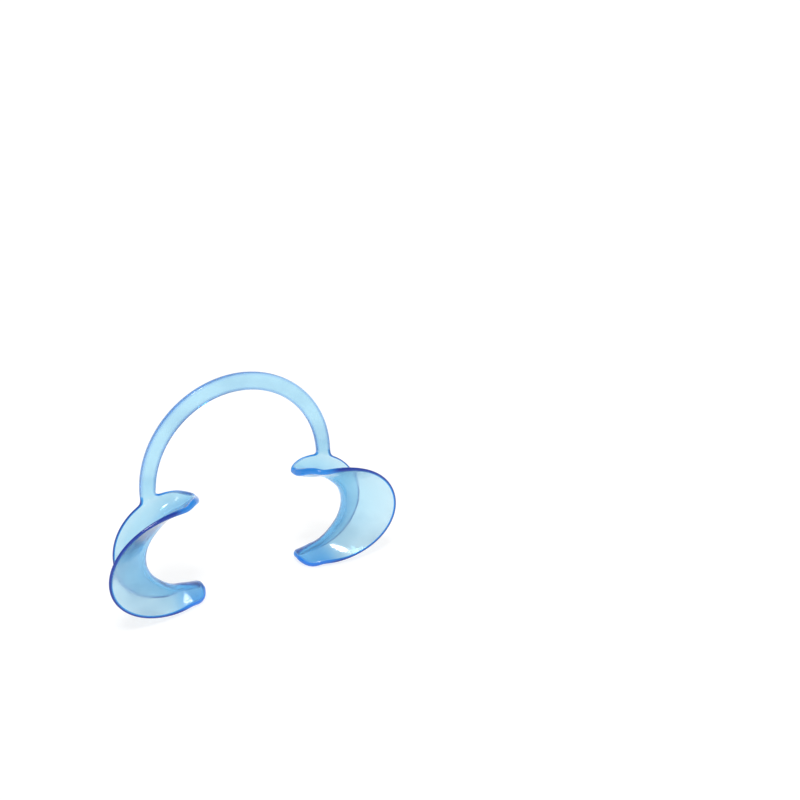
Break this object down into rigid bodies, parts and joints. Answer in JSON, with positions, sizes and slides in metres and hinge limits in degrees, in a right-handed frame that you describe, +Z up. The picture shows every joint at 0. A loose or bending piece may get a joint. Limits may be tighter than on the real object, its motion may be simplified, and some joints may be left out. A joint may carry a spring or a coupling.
{
  "type": "cheek retractor",
  "caption": "One-piece clear blue cheek retractor: two saddle-shaped lip channels with spoon tongues, joined by a flat, springy C-shaped bow.",
  "frame": {"origin": "under the middle of the retractor, on the surface that its two saddles stand on, halfway through its depth", "axes": "+Z up, from the standing rims to the bow's crown; X from the left saddle to the right one; -Y towards the mouth (the larger flanges), +Y towards the dentist (the bow)"},
  "size_m": [0.0964, 0.0164, 0.0674],
  "materials": {
    "clear_blue_plastic": "clear, glossy, tinted blue, deeper blue where seen edge-on"
  },
  "bodies": {
    "left_half": {"left_bow_half": "clear_blue_plastic", "left_mouth_flange": "clear_blue_plastic", "left_web": "clear_blue_plastic", "left_lip_flange": "clear_blue_plastic", "left_upper_tongue": "clear_blue_plastic", "left_lower_tongue": "clear_blue_plastic", "left_bow_root": "clear_blue_plastic"},
    "right_half": {"right_bow_half": "clear_blue_plastic", "right_mouth_flange": "clear_blue_plastic", "right_web": "clear_blue_plastic", "right_lip_flange": "clear_blue_plastic", "right_upper_tongue": "clear_blue_plastic", "right_lower_tongue": "clear_blue_plastic", "right_bow_root": "clear_blue_plastic"}
  },
  "joints": [
    {"name": "bow_flex", "type": "hinge", "parent": "left_half", "child": "right_half", "pos_m": [0, 0.0073, 0.06455], "axis": [0, 1, 0], "range_deg": [-5, 22], "stiffness_Nm_per_rad": 1.09}
  ]
}
